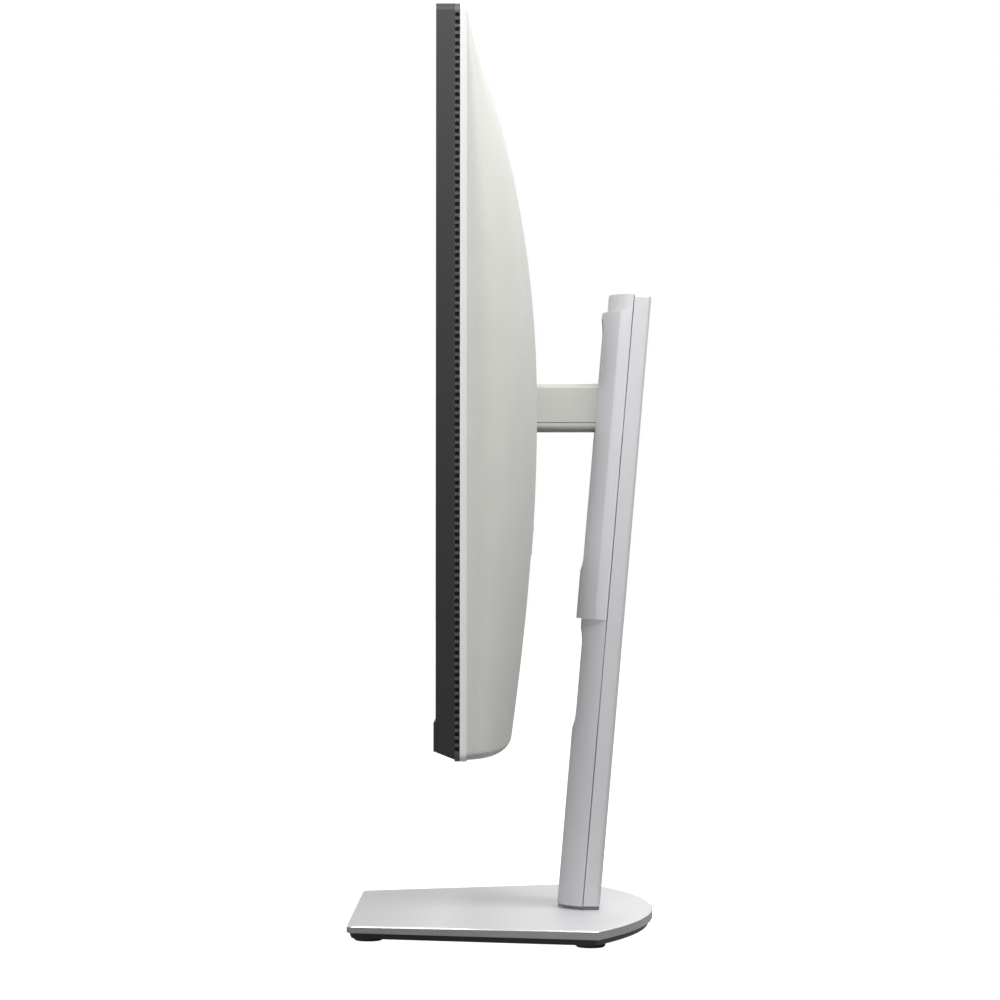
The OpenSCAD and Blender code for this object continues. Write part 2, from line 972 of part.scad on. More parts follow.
module io_tray() color("#3d4043") {
  x = bay_w / 2 - 0.2;
  low = head_lift + wall;
  high = bay_top + 1.8;
  difference() {
    rotate([90, 0, 90])
      translate([0, 0, -x])
        linear_extrude(2 * x)
          polygon([[bay_y - 2, low], [2.6, low], [13.4, high], [bay_y - 2, high]]);
    box([-x + 2, bay_y, head_lift - 5], [x - 2, 60, bay_top]);
    bay_openings();
  }
}

module socket(x, y0, y1, half, depth) {
  z = bay_top - 0.4;
  t = 0.6;
  difference() {
    box([x - half, y0, z], [x + half, y1, z + depth]);
    box([x - half + t, y0 + t, z - 1], [x + half - t, y1 - t, z + depth - 1]);
  }
  box([x - half + 2.4, (y0 + y1) / 2 - 0.5, z + 1], [x + half - 2.4, (y0 + y1) / 2 + 0.5, z + depth - 0.9]);
}

module hdmi_sockets() color("#a8abad") {
  for (x = hdmi_x)
    socket(x, 0.1, 5.7, 7.7, 12);
}

module usb_sockets() color("#a8abad") {
  for (x = usb_x)
    socket(x, 0.1, 5.5, 6.7, 14);
}

module usb_c_socket() color("#a8abad") {
  socket(usb_c_x, 1.4, 4.6, 4.5, 8);
}

module power_inlet() color("#1d1e20") {
  z = bay_top - 0.4;
  difference() {
    box([inlet_x - 13.9, -1.4, z], [inlet_x + 13.9, 8.4, z + 19]);
    box([inlet_x - 12, 0.2, z - 1], [inlet_x + 12, 6.8, z + 15]);
  }
  for (x = [inlet_x - 6:6:inlet_x + 6])
    box([x - 1.2, 2.2, z + 2], [x + 1.2, 4.6, z + 15.4]);
}

module speakers() color("#1f2022") {
  for (s = [-1, 1]) {
    x = s * speaker_x;
    difference() {
      box([x - 32, -22, 122], [x + 32, -6, 150]);
      rod_along_y(x, speaker_z, -8, 0, 11);
    }
    rod_along_y(x, speaker_z, -8, -6.6, 8);
  }
}

// ---- controls ----

module power_button() color("#3a3f43") {
  translate([button_x, button_y, head_lift + 0.3])
    cylinder(h = 2.6, r = 4.6);
  translate([button_x, button_y, head_lift + 2.6])
    cylinder(h = 1.4, r = 6.4);
}

module joystick_cup() color("#2b2c2f") {
  difference() {
    rod_along_y(stick_x, stick_z, gimbal_y - 6, stick_y - 1.8, 12);
    rod_along_y(stick_x, stick_z, gimbal_y - 4.4, stick_y + 1, 10.4);
    rod_along_x(gimbal_y, stick_z, stick_x - 20, stick_x + 20, 0.86);
  }
}

module joystick_ring() color(steel) {
  difference() {
    union() {
      rod_along_y(stick_x, stick_z, gimbal_y - 1, gimbal_y + 1, 7.6);
      rod_along_x(gimbal_y, stick_z, stick_x - 11.6, stick_x + 11.6, 0.8);
    }
    rod_along_y(stick_x, stick_z, gimbal_y - 5, gimbal_y + 5, 5.4);
    translate([stick_x, gimbal_y, stick_z - 20])
      cylinder(h = 40, r = 0.66);
  }
}

module joystick_stem() color("#2b2c2f") {
  difference() {
    union() {
      rod_along_y(stick_x, stick_z, gimbal_y - 2.4, gimbal_y + 5, 3);
      translate([stick_x, gimbal_y, stick_z - 7])
        cylinder(h = 14, r = 0.6);
    }
    rod_along_y(stick_x, stick_z, gimbal_y + 1.4, gimbal_y + 8, 1.8);
  }
}

module joystick_cap() color("#33383b") {
  top = gimbal_y + 9;
  rod_along_y(stick_x, stick_z, gimbal_y + 2.4, gimbal_y + 6.4, 1.72);
  difference() {
    rod_along_y(stick_x, stick_z, gimbal_y + 6, top, 6.4);
    translate([stick_x, top + 15, stick_z])
      sphere(16, $fn = 48);
  }
}

// ---- assembly ----

base_plate();
base_underframe();
base_feet();
base_screws();
hub_bushing();
swivel_hub();
hub_retainer();
stand_screw();
column_foot();
foot_screws();
column_front();
column_rear_cover();
column_spine();
cable_hole_trim();
slot_cover();
slide_rods();
rod_blocks();
spring_strip();
lift_carriage();
carriage_bushes();
spring_axle();
neck_core();
neck_upper_cover();
neck_lower_cover();
neck_screws();
tilt_pin();
tilt_washers();
spring_coil();
tilt_bracket();
pivot_spindle();
pivot_washers();
mount_plate();
pivot_nut();
mount_tray();
vesa_plate();
release_button();
release_latch();
front_frame();
chin_bezel();
lcd_glass();
light_guide();
led_strip();
panel_chassis();
vent_strip();
rear_cover();
main_board();
power_board();
heat_sink();
shield_can();
io_tray();
hdmi_sockets();
usb_sockets();
usb_c_socket();
power_inlet();
speakers();
power_button();
joystick_cup();
joystick_ring();
joystick_stem();
joystick_cap();
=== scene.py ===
import json
import math

import bmesh
import bpy
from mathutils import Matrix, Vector

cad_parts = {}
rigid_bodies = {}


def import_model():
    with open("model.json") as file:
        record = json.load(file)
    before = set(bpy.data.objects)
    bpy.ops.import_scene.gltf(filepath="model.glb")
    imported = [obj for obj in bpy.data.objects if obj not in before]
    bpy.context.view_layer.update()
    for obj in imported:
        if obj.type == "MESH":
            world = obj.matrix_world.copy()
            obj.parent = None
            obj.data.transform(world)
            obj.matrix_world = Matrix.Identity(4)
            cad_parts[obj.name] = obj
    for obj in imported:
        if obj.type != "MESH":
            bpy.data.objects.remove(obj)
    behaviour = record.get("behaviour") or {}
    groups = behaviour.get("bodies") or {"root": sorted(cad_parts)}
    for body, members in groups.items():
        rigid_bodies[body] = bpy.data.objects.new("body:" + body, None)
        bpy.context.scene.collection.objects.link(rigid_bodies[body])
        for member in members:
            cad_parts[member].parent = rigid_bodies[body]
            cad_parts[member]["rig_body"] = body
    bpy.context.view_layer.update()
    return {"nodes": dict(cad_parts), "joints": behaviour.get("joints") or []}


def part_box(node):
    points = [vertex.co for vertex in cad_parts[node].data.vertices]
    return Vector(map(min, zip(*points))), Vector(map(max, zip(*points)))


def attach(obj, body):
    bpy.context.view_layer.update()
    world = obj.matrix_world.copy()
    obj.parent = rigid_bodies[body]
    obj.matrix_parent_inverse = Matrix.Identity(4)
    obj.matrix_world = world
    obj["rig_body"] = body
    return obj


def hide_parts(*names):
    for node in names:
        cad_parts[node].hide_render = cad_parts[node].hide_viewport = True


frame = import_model()
nodes = frame["nodes"]
mm = 0.001


# camera, light and floor

studio = {
    "eye": (1.6, -0.002, 0.1823),
    "tilt": 92.17,
    "lens": 100,
    "backdrop": 1.0,
    "skyTop": 0.26,
    "skyLow": 0.06,
    "skyRise": 0.35,        # how far up the sky gets its full strength, as a share of straight up
    "wallGlow": 0.4,
    "wallFrom": -0.3,       # the pale wall behind begins here, and is whole at -1
    "floorSize": 60,
    "floorTone": 0.22,
    "floorGlow": 1.0,
    "floorRoughness": 0.6,
    "floorShine": 0.1,
}

# name: strength, spread in degrees, the way the light travels
suns = {
    "overheadLight": (0.7, 50, (0.05, -0.05, -1)),
}

# name: watts, side of the square panel, where it hangs, what it points at, whether it casts shadows
panels = {
    "sidePanel": (7.4, 0.5, (0.95, 0.1, 0.98), (0.25, 0, 0.34), True),
    "frontPanel": (8.6, 0.6, (0.5, -0.6, 0.8), (0, 0.06, 0.3), False),
    "backPanel": (9.0, 0.4, (0.3, 0.45, 0.92), (0.1, 0.02, 0.4), True),
    "farPanel": (5.0, 0.6, (-0.9, 0.1, 1.0), (-0.25, 0, 0.34), True),
}


def linkObject(thing):
    bpy.context.scene.collection.objects.link(thing)
    return thing


def makeCamera():
    camera = linkObject(bpy.data.objects.new("camera", bpy.data.cameras.new("camera")))
    camera.data.lens = studio["lens"]
    camera.location = studio["eye"]
    camera.rotation_euler = (math.radians(studio["tilt"]), 0, math.radians(90))
    bpy.context.scene.camera = camera


def addNode(tree, kind, links=None, **settings):
    node = tree.nodes.new(kind)
    for key, value in settings.items():
        setattr(node, key, value)
    for socket, value in (links or {}).items():
        if isinstance(value, bpy.types.NodeSocket):
            tree.links.new(value, node.inputs[socket])
        else:
            node.inputs[socket].default_value = value
    return node


def makeWorld():
    world = bpy.data.worlds.new("studio")
    bpy.context.scene.world = world
    world.use_nodes = True
    tree = world.node_tree
    place = addNode(tree, "ShaderNodeTexCoord").outputs["Generated"]
    parts = addNode(tree, "ShaderNodeSeparateXYZ", {"Vector": place})
    sky = addNode(tree, "ShaderNodeMapRange", {
        "Value": parts.outputs["Z"],
        "From Min": 0.0,
        "From Max": studio["skyRise"],
        "To Min": studio["skyLow"],
        "To Max": studio["skyTop"],
    }).outputs[0]
    wall = addNode(tree, "ShaderNodeMapRange", {
        "Value": parts.outputs["X"],
        "From Min": studio["wallFrom"],
        "From Max": -1.0,
        "To Max": studio["wallGlow"],
    }).outputs[0]
    around = addNode(tree, "ShaderNodeMath", {0: sky, 1: wall}, operation="ADD").outputs[0]
    ray = addNode(tree, "ShaderNodeLightPath").outputs["Is Camera Ray"]
    strength = addNode(tree, "ShaderNodeMix", {
        "Factor": ray,
        "A": around,
        "B": studio["backdrop"],
    })
    tree.links.new(strength.outputs[0], tree.nodes["Background"].inputs["Strength"])
    tree.nodes["Background"].inputs["Color"].default_value = (1, 1, 1, 1)


def addSun(name, strength, spread, direction):
    lamp = bpy.data.lights.new(name, "SUN")
    lamp.energy = strength
    lamp.angle = math.radians(spread)
    sun = linkObject(bpy.data.objects.new(name, lamp))
    sun.rotation_mode = "QUATERNION"
    sun.rotation_quaternion = Vector(direction).to_track_quat("-Z", "Y")


def addPanel(name, power, side, spot, target, shadows):
    lamp = bpy.data.lights.new(name, "AREA")
    lamp.energy = power
    lamp.size = side
    lamp.use_shadow = shadows
    panel = linkObject(bpy.data.objects.new(name, lamp))
    panel.location = spot
    panel.rotation_mode = "QUATERNION"
    panel.rotation_quaternion = (Vector(target) - Vector(spot)).to_track_quat("-Z", "Y")
    panel.visible_camera = False


def makeFloor():
    half = studio["floorSize"] / 2
    mesh = bpy.data.meshes.new("floor")
    corners = [(-half, -half, 0), (half, -half, 0), (half, half, 0), (-half, half, 0)]
    mesh.from_pydata(corners, [], [(0, 1, 2, 3)])
    floor = linkObject(bpy.data.objects.new("floor", mesh))
    material = bpy.data.materials.new("paleFloor")
    material.use_nodes = True
    shader = material.node_tree.nodes["Principled BSDF"]
    tone = studio["floorTone"]
    shader.inputs["Base Color"].default_value = (tone, tone, tone, 1)
    shader.inputs["Roughness"].default_value = studio["floorRoughness"]
    shader.inputs["Specular IOR Level"].default_value = studio["floorShine"]
    shader.inputs["Emission Color"].default_value = (1, 1, 1, 1)
    ray = addNode(material.node_tree, "ShaderNodeLightPath").outputs["Is Camera Ray"]
    glow = addNode(material.node_tree, "ShaderNodeMapRange", {
        "Value": ray,
        "To Min": 0.0,
        "To Max": studio["floorGlow"],
    }).outputs[0]
    material.node_tree.links.new(glow, shader.inputs["Emission Strength"])
    mesh.materials.append(material)


bpy.context.scene.view_settings.view_transform = "Standard"
makeCamera()
makeWorld()
for sunName, (strength, angle, direction) in suns.items():
    addSun(sunName, strength, angle, direction)
for panelName, panelFacts in panels.items():
    addPanel(panelName, *panelFacts)
makeFloor()
print("studio ready")


# finishes

# size values are in metres; tone is the share that the colour wanders by
finishes = {
    "coverPlastic": {"color": (0.45, 0.45, 0.425), "roughness": 0.5, "grain": 0.0006, "bump": 0.10,
                     "wave": 0.0016, "tone": 0.05},
    "rimPlastic": {"color": (0.60, 0.60, 0.59), "roughness": 0.34,
                   "grain": 0.0005, "bump": 0.03, "tone": 0.02},
    "neckPlastic": {"color": (0.34, 0.34, 0.32), "roughness": 0.42,
                    "grain": 0.0005, "bump": 0.06, "tone": 0.03},
    "framePlastic": {"color": (0.0105, 0.0115, 0.0135), "roughness": 0.5, "grain": 0.0004, "bump": 0.10,
                     "tone": 0.10},
    "ventPlastic": {"color": (0.05, 0.05, 0.05), "roughness": 0.45,
                    "grain": 0.0004, "bump": 0.08, "tone": 0.08},
    # painted shade: the near black of the sheet behind the vent slots
    "paintedShadeBlack": {"color": (0.003, 0.003, 0.003), "roughness": 0.7,
                  "grain": 0.0006, "bump": 0.05, "tone": 0.1},
    "blackPlastic": {"color": (0.014, 0.015, 0.017), "roughness": 0.48, "grain": 0.0005, "bump": 0.16,
                     "tone": 0.12},
    "darkPlastic": {"color": (0.035, 0.036, 0.039), "roughness": 0.52, "grain": 0.0005, "bump": 0.16,
                    "tone": 0.10},
    "silverPaint": {"color": (0.54, 0.54, 0.55), "roughness": 0.34, "metallic": 0.35, "grain": 0.0003,
                    "bump": 0.05, "flake": 0.10, "tone": 0.03},
    "columnPaint": {"color": (0.43, 0.424, 0.44), "roughness": 0.42, "metallic": 0.15, "grain": 0.0003,
                    "bump": 0.05, "flake": 0.10, "tone": 0.03},
    "brushedSide": {"color": (0.42, 0.41, 0.42), "roughness": 0.34, "metallic": 0.85, "grain": 0.0005,
                    "bump": 0.08, "tone": 0.08, "stretch": (0.06, 0.06, 1.0)},
    "cutEdge": {"color": (0.93, 0.93, 0.94), "roughness": 0.22, "metallic": 0.6, "grain": 0.0005,
                "bump": 0.02, "tone": 0.02},
    "rubber": {"color": (0.016, 0.016, 0.017), "roughness": 0.72, "grain": 0.0007, "bump": 0.2, "tone": 0.12},
    "plainSteel": {"color": (0.48, 0.48, 0.49), "roughness": 0.32, "metallic": 1.0, "grain": 0.0005,
                   "bump": 0.06, "tone": 0.08, "stretch": (1.0, 0.08, 1.0)},
    "darkSteel": {"color": (0.20, 0.205, 0.21), "roughness": 0.4, "metallic": 0.9, "grain": 0.0006,
                  "bump": 0.08, "tone": 0.10},
    "brightSteel": {"color": (0.72, 0.73, 0.74), "roughness": 0.16, "metallic": 1.0, "grain": 0.0006,
                    "bump": 0.02, "tone": 0.03},
    "dieCast": {"color": (0.36, 0.37, 0.38), "roughness": 0.5, "metallic": 0.8, "grain": 0.0008,
                "bump": 0.25, "tone": 0.12},
    "naturalNylon": {"color": (0.72, 0.70, 0.62), "roughness": 0.45,
                     "grain": 0.0008, "bump": 0.05, "tone": 0.04},
    "boardGreen": {"color": (0.02, 0.11, 0.045), "roughness": 0.35, "grain": 0.002, "bump": 0.1, "tone": 0.2},
    "boardTan": {"color": (0.42, 0.27, 0.09), "roughness": 0.4, "grain": 0.002, "bump": 0.1, "tone": 0.15},
    "ledCream": {"color": (0.85, 0.80, 0.55), "roughness": 0.4, "grain": 0.001, "bump": 0.05, "tone": 0.05},
    "clearAcrylic": {"color": (0.82, 0.87, 0.87), "roughness": 0.12,
                     "grain": 0.002, "bump": 0.01, "tone": 0.02},
}


# what all the finishes share
surface = {
    "noiseRange": (0.3, 0.7),    # nearly all of a noise lies between these
    "cloud": 0.03,
    "roughnessShare": 0.12,
    "grainDepth": 0.5,           # as a share of the grain's size
    "fleckSize": 0.00035,
    "fleckDepth": 0.00005,
    "waveLength": 0.314,         # a band texture at scale 1 repeats at this length
    "waveBump": 0.25,
    "waveDepth": 0.00012,
}


def noise(tree, place, size, detail):
    texture = addNode(tree, "ShaderNodeTexNoise", {"Vector": place, "Scale": 1 / size, "Detail": detail})
    return texture.outputs[0]


def mixTones(tree, share, color, tone):
    dark = [c * (1 - tone) for c in color] + [1]
    light = [min(1, c * (1 + tone)) for c in color] + [1]
    ramp = addNode(tree, "ShaderNodeValToRGB", {"Fac": share})
    ramp.color_ramp.elements[0].position = surface["noiseRange"][0]
    ramp.color_ramp.elements[0].color = dark
    ramp.color_ramp.elements[1].position = surface["noiseRange"][1]
    ramp.color_ramp.elements[1].color = light
    return ramp.outputs["Color"]


def spread(tree, value, low, high):
    start, end = surface["noiseRange"]
    return addNode(tree, "ShaderNodeMapRange", {
        "Value": value, "From Min": start, "From Max": end, "To Min": low, "To Max": high,
    }).outputs[0]


def bumped(tree, height, strength, distance, under=None):
    node = addNode(tree, "ShaderNodeBump", {"Height": height, "Strength": strength, "Distance": distance})
    if under:
        tree.links.new(under, node.inputs["Normal"])
    return node.outputs["Normal"]


def makeFinish(name, look):
    material = bpy.data.materials.new(name)
    material.use_nodes = True
    tree = material.node_tree
    shader = tree.nodes["Principled BSDF"]
    shader.inputs["Metallic"].default_value = look.get("metallic", 0)
    place = addNode(tree, "ShaderNodeTexCoord").outputs["Object"]
    stretched = addNode(tree, "ShaderNodeMapping", {
        "Vector": place,
        "Scale": look.get("stretch", (1, 1, 1)),
    }).outputs[0]
    cloud = noise(tree, place, surface["cloud"], 4)
    grain = noise(tree, stretched, look["grain"], 3)
    share = addNode(tree, "ShaderNodeMath", {0: cloud, 1: grain}, operation="ADD")
    half = addNode(tree, "ShaderNodeMath", {0: share.outputs[0], 1: 0.5}, operation="MULTIPLY")
    tree.links.new(mixTones(tree, half.outputs[0], look["color"], look["tone"]), shader.inputs["Base Color"])
    rough, wander = look["roughness"], surface["roughnessShare"]
    roughness = spread(tree, grain, rough * (1 - wander), rough * (1 + wander))
    tree.links.new(roughness, shader.inputs["Roughness"])
    normal = bumped(tree, grain, look["bump"], look["grain"] * surface["grainDepth"])
    if "flake" in look:
        cells = addNode(tree, "ShaderNodeTexVoronoi", {"Vector": place, "Scale": 1 / surface["fleckSize"]})
        fleck = addNode(tree, "ShaderNodeSeparateColor", {0: cells.outputs["Color"]}).outputs[0]
        normal = bumped(tree, fleck, look["flake"], surface["fleckDepth"], normal)
    if "wave" in look:
        lines = addNode(tree, "ShaderNodeTexWave", {
            "Vector": place,
            "Scale": surface["waveLength"] / look["wave"],
            "Distortion": 9,
            "Detail": 3,
            "Detail Scale": 0.6,
            "Detail Roughness": 0.6,
        }, wave_type="BANDS", bands_direction="X")
        normal = bumped(tree, lines.outputs["Fac"], surface["waveBump"], surface["waveDepth"], normal)
    tree.links.new(normal, shader.inputs["Normal"])
    return material


screen = {
    "border": 4.2 * mm,
    "picture": (0.0075, 0.008, 0.0095),
    "print": (0.0025, 0.0025, 0.003),
    "shine": 0.6,
    "sparkle": 0.0002,
    "roughness": (0.2, 0.3),
    "bump": 0.05,
    "depth": 0.00005,
}


def makeScreenFinish(name):
    # an unlit panel: near black, with a blacker printed border round the picture area
    low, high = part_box("lcd_glass")
    material = bpy.data.materials.new(name)
    material.use_nodes = True
    tree = material.node_tree
    shader = tree.nodes["Principled BSDF"]
    shader.inputs["Specular IOR Level"].default_value = screen["shine"]
    place = addNode(tree, "ShaderNodeTexCoord").outputs["Object"]
    parts = addNode(tree, "ShaderNodeSeparateXYZ", {0: place})
    sides = []
    for axis in (0, 2):
        middle = (low[axis] + high[axis]) / 2
        reach = (high[axis] - low[axis]) / 2 - screen["border"]
        offset = addNode(tree, "ShaderNodeMath", {0: parts.outputs[axis], 1: middle}, operation="SUBTRACT")
        size = addNode(tree, "ShaderNodeMath", {0: offset.outputs[0]}, operation="ABSOLUTE")
        past = addNode(tree, "ShaderNodeMath", {0: size.outputs[0], 1: reach}, operation="GREATER_THAN")
        sides.append(past.outputs[0])
    border = addNode(tree, "ShaderNodeMath", {0: sides[0], 1: sides[1]}, operation="MAXIMUM")
    mix = addNode(tree, "ShaderNodeMix", {0: border.outputs[0]}, data_type="RGBA")
    mix.inputs[6].default_value = (*screen["picture"], 1)    # sockets 6 and 7 are the two colours
    mix.inputs[7].default_value = (*screen["print"], 1)
    tree.links.new(mix.outputs[2], shader.inputs["Base Color"])
    sparkle = noise(tree, place, screen["sparkle"], 2)
    tree.links.new(spread(tree, sparkle, *screen["roughness"]), shader.inputs["Roughness"])
    tree.links.new(bumped(tree, sparkle, screen["bump"], screen["depth"]), shader.inputs["Normal"])
    return material


materials = {name: makeFinish(name, look) for name, look in finishes.items()}
materials["screenGlass"] = makeScreenFinish("screenGlass")
print("finishes ready:", len(materials))


# mesh helpers

def bodyOf(node):
    return nodes[node]["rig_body"]


def smoothed(piece, angle=30):
    mesh = piece.data
    mesh.polygons.foreach_set("use_smooth", [True] * len(mesh.polygons))
    mesh.set_sharp_from_angle(angle=math.radians(angle))
    return piece


def settle(piece):
    # turns what the modifiers make into the piece's own plain mesh
    graph = bpy.context.evaluated_depsgraph_get()
    plain = bpy.data.meshes.new_from_object(piece.evaluated_get(graph))
    piece.modifiers.clear()
    piece.data = plain
    return piece


def standFor(piece, *names):
    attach(piece, bodyOf(names[0]))
    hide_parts(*names)
    return piece


def meshPiece(name, bm, *finishNames):
    mesh = bpy.data.meshes.new(name)
    bm.to_mesh(mesh)
    bm.free()
    for finishName in finishNames:
        mesh.materials.append(materials[finishName])
    return linkObject(bpy.data.objects.new(name, mesh))


# how copies of the CAD solids are merged and their edges rounded; angles in degrees
soften = {
    "merge": 2e-6,
    "flat": 0.6,
    "sharp": 35,
    "segments": 2,
    "wideSegments": 5,
}


def mergedCopy(node):
    bm = bmesh.new()
    bm.from_mesh(nodes[node].data)
    bmesh.ops.remove_doubles(bm, verts=bm.verts, dist=soften["merge"])
    flat = math.radians(soften["flat"])
    bmesh.ops.dissolve_limit(bm, angle_limit=flat, verts=bm.verts, edges=bm.edges)
    return bm


def roundEdges(piece, width):
    bevel = piece.modifiers.new("Round edges", "BEVEL")
    bevel.width = width
    bevel.segments = soften["segments"]
    bevel.limit_method = "ANGLE"
    bevel.angle_limit = math.radians(soften["sharp"])
    bevel.harden_normals = True
    return settle(piece)


def softCopy(name, node, width, *finishNames, wideEdges=None, wideWidth=0.0):
    # a merged copy of the CAD solid with its sharp edges rounded, and chosen edges rounded more
    bm = mergedCopy(node)
    for face in bm.faces:
        face.material_index = 0
    if wideEdges:
        chosen = [e for e in bm.edges if len(e.link_faces) == 2 and wideEdges(e)]
        bmesh.ops.bevel(bm, geom=chosen, offset=wideWidth, segments=soften["wideSegments"], profile=0.5,
                        affect="EDGES")
    piece = meshPiece(name, bm, *finishNames)
    roundEdges(smoothed(piece), width)
    return standFor(piece, node)


def carve(piece, cutter):
    modifier = piece.modifiers.new("Cut", "BOOLEAN")
    modifier.object = cutter
    modifier.operation = "DIFFERENCE"
    modifier.solver = "EXACT"
    settle(piece)
    bpy.data.objects.remove(cutter)
    return piece


cornerSteps = 8    # flats in a quarter turn


def roundedSlab(bm, halfX, lowZ, highZ, y0, y1, radius):
    # a closed plate in the XZ plane with round corners
    outline = []
    corners = [(halfX, highZ, 0), (-halfX, highZ, 90), (-halfX, lowZ, 180), (halfX, lowZ, 270)]
    for x, z, start in corners:
        cx = x - math.copysign(radius, x)
        cz = z - radius if z == highZ else z + radius
        for k in range(cornerSteps + 1):
            turn = math.radians(start + 90 * k / cornerSteps)
            outline.append((cx + radius * math.cos(turn), cz + radius * math.sin(turn)))
    near = [bm.verts.new((x, y0, z)) for x, z in outline]
    far = [bm.verts.new((x, y1, z)) for x, z in outline]
    bm.faces.new(near)
    bm.faces.new(list(reversed(far)))
    count = len(outline)
    for k in range(count):
        bm.faces.new((near[k], far[k], far[(k + 1) % count], near[(k + 1) % count]))


def fixNormals(bm):
    bmesh.ops.remove_doubles(bm, verts=bm.verts, dist=1e-7)
    bmesh.ops.recalc_face_normals(bm, faces=bm.faces)


# geometry node helpers

def newTree(name, inputs):
    tree = bpy.data.node_groups.new(name, "GeometryNodeTree")
    for label, value in inputs.items():
        kind = "NodeSocketMaterial"
        if isinstance(value, int):
            kind = "NodeSocketInt"
        elif isinstance(value, float):
            kind = "NodeSocketFloat"
        elif isinstance(value, tuple):
            kind = "NodeSocketVector"
        socket = tree.interface.new_socket(label, in_out="INPUT", socket_type=kind)
        if kind != "NodeSocketMaterial":
            socket.default_value = value
    tree.interface.new_socket("Geometry", in_out="OUTPUT", socket_type="NodeSocketGeometry")
    return tree, tree.nodes.new("NodeGroupInput").outputs


def calc(tree, operation, a, b=0.0, clamped=False):
    node = addNode(tree, "ShaderNodeMath", {0: a, 1: b}, operation=operation, use_clamp=clamped)
    return node.outputs[0]


def endTree(tree, geometry, material):
    real = addNode(tree, "GeometryNodeRealizeInstances", {"Geometry": geometry})
    painted = addNode(tree, "GeometryNodeSetMaterial", {"Geometry": real.outputs[0], "Material": material})
    end = tree.nodes.new("NodeGroupOutput")
    tree.links.new(painted.outputs[0], end.inputs[0])


def grow(name, tree, values):
    # runs the tree on an empty mesh and keeps the plain result
    piece = linkObject(bpy.data.objects.new(name, bpy.data.meshes.new(name)))
    modifier = piece.modifiers.new("Grow", "NODES")
    modifier.node_group = tree
    for item in tree.interface.items_tree:
        if item.in_out == "INPUT" and item.name in values:
            modifier[item.identifier] = values[item.name]
    return settle(piece)


# rear cover

rearCover = {
    "columns": 220,
    "rows": 170,
    "step": 0.7 * mm,          # how far the swelling skin is set in from the rim
    "groove": 0.35 * mm,
    "wall": 2.4 * mm,
    "swell": 35.6 * mm,
    "crestBelowMiddle": 2.5 * mm,
    "reach": 354 * mm,         # how far below the crest the swell would fade out
    "footRound": 4 * mm,
    "cornerRound": 4 * mm,
    "rimDepth": 3.2 * mm,
    "sideFall": 4.0,           # the powers that shape the swell toward the sides, the top and the foot
    "sideBlend": 0.4,
    "topFall": 2.2,
    "topBlend": 0.85,
    "footFall": 2.0,
    "footBlend": 1.8,
    "grooveFloor": 0.55,       # how far across the step the groove's floor and lip end
    "grooveLip": 0.25,
    "grooveDrop": 0.05 * mm,
    "shoulderSoft": 0.35 * mm,
    "lipSoft": 0.2 * mm,
    "innerGap": 0.4 * mm,
    "sharp": 35,
}

# the openings in the rear cover: where each cut starts and ends from front to back, and its corner
coverCuts = {
    "gap": 0.2 * mm,
    "pocket": (-10 * mm, 30 * mm, 8 * mm),
    "bay": (60 * mm, 3 * mm),
    "bayBelow": 10 * mm,
    "cup": (-15 * mm, 40 * mm),
    "release": (0, 40 * mm, 2.3 * mm),
    "releaseInset": 1.0 * mm,
    "buttonRadius": 5.2 * mm,
    "button": (-5 * mm, 15 * mm),
}


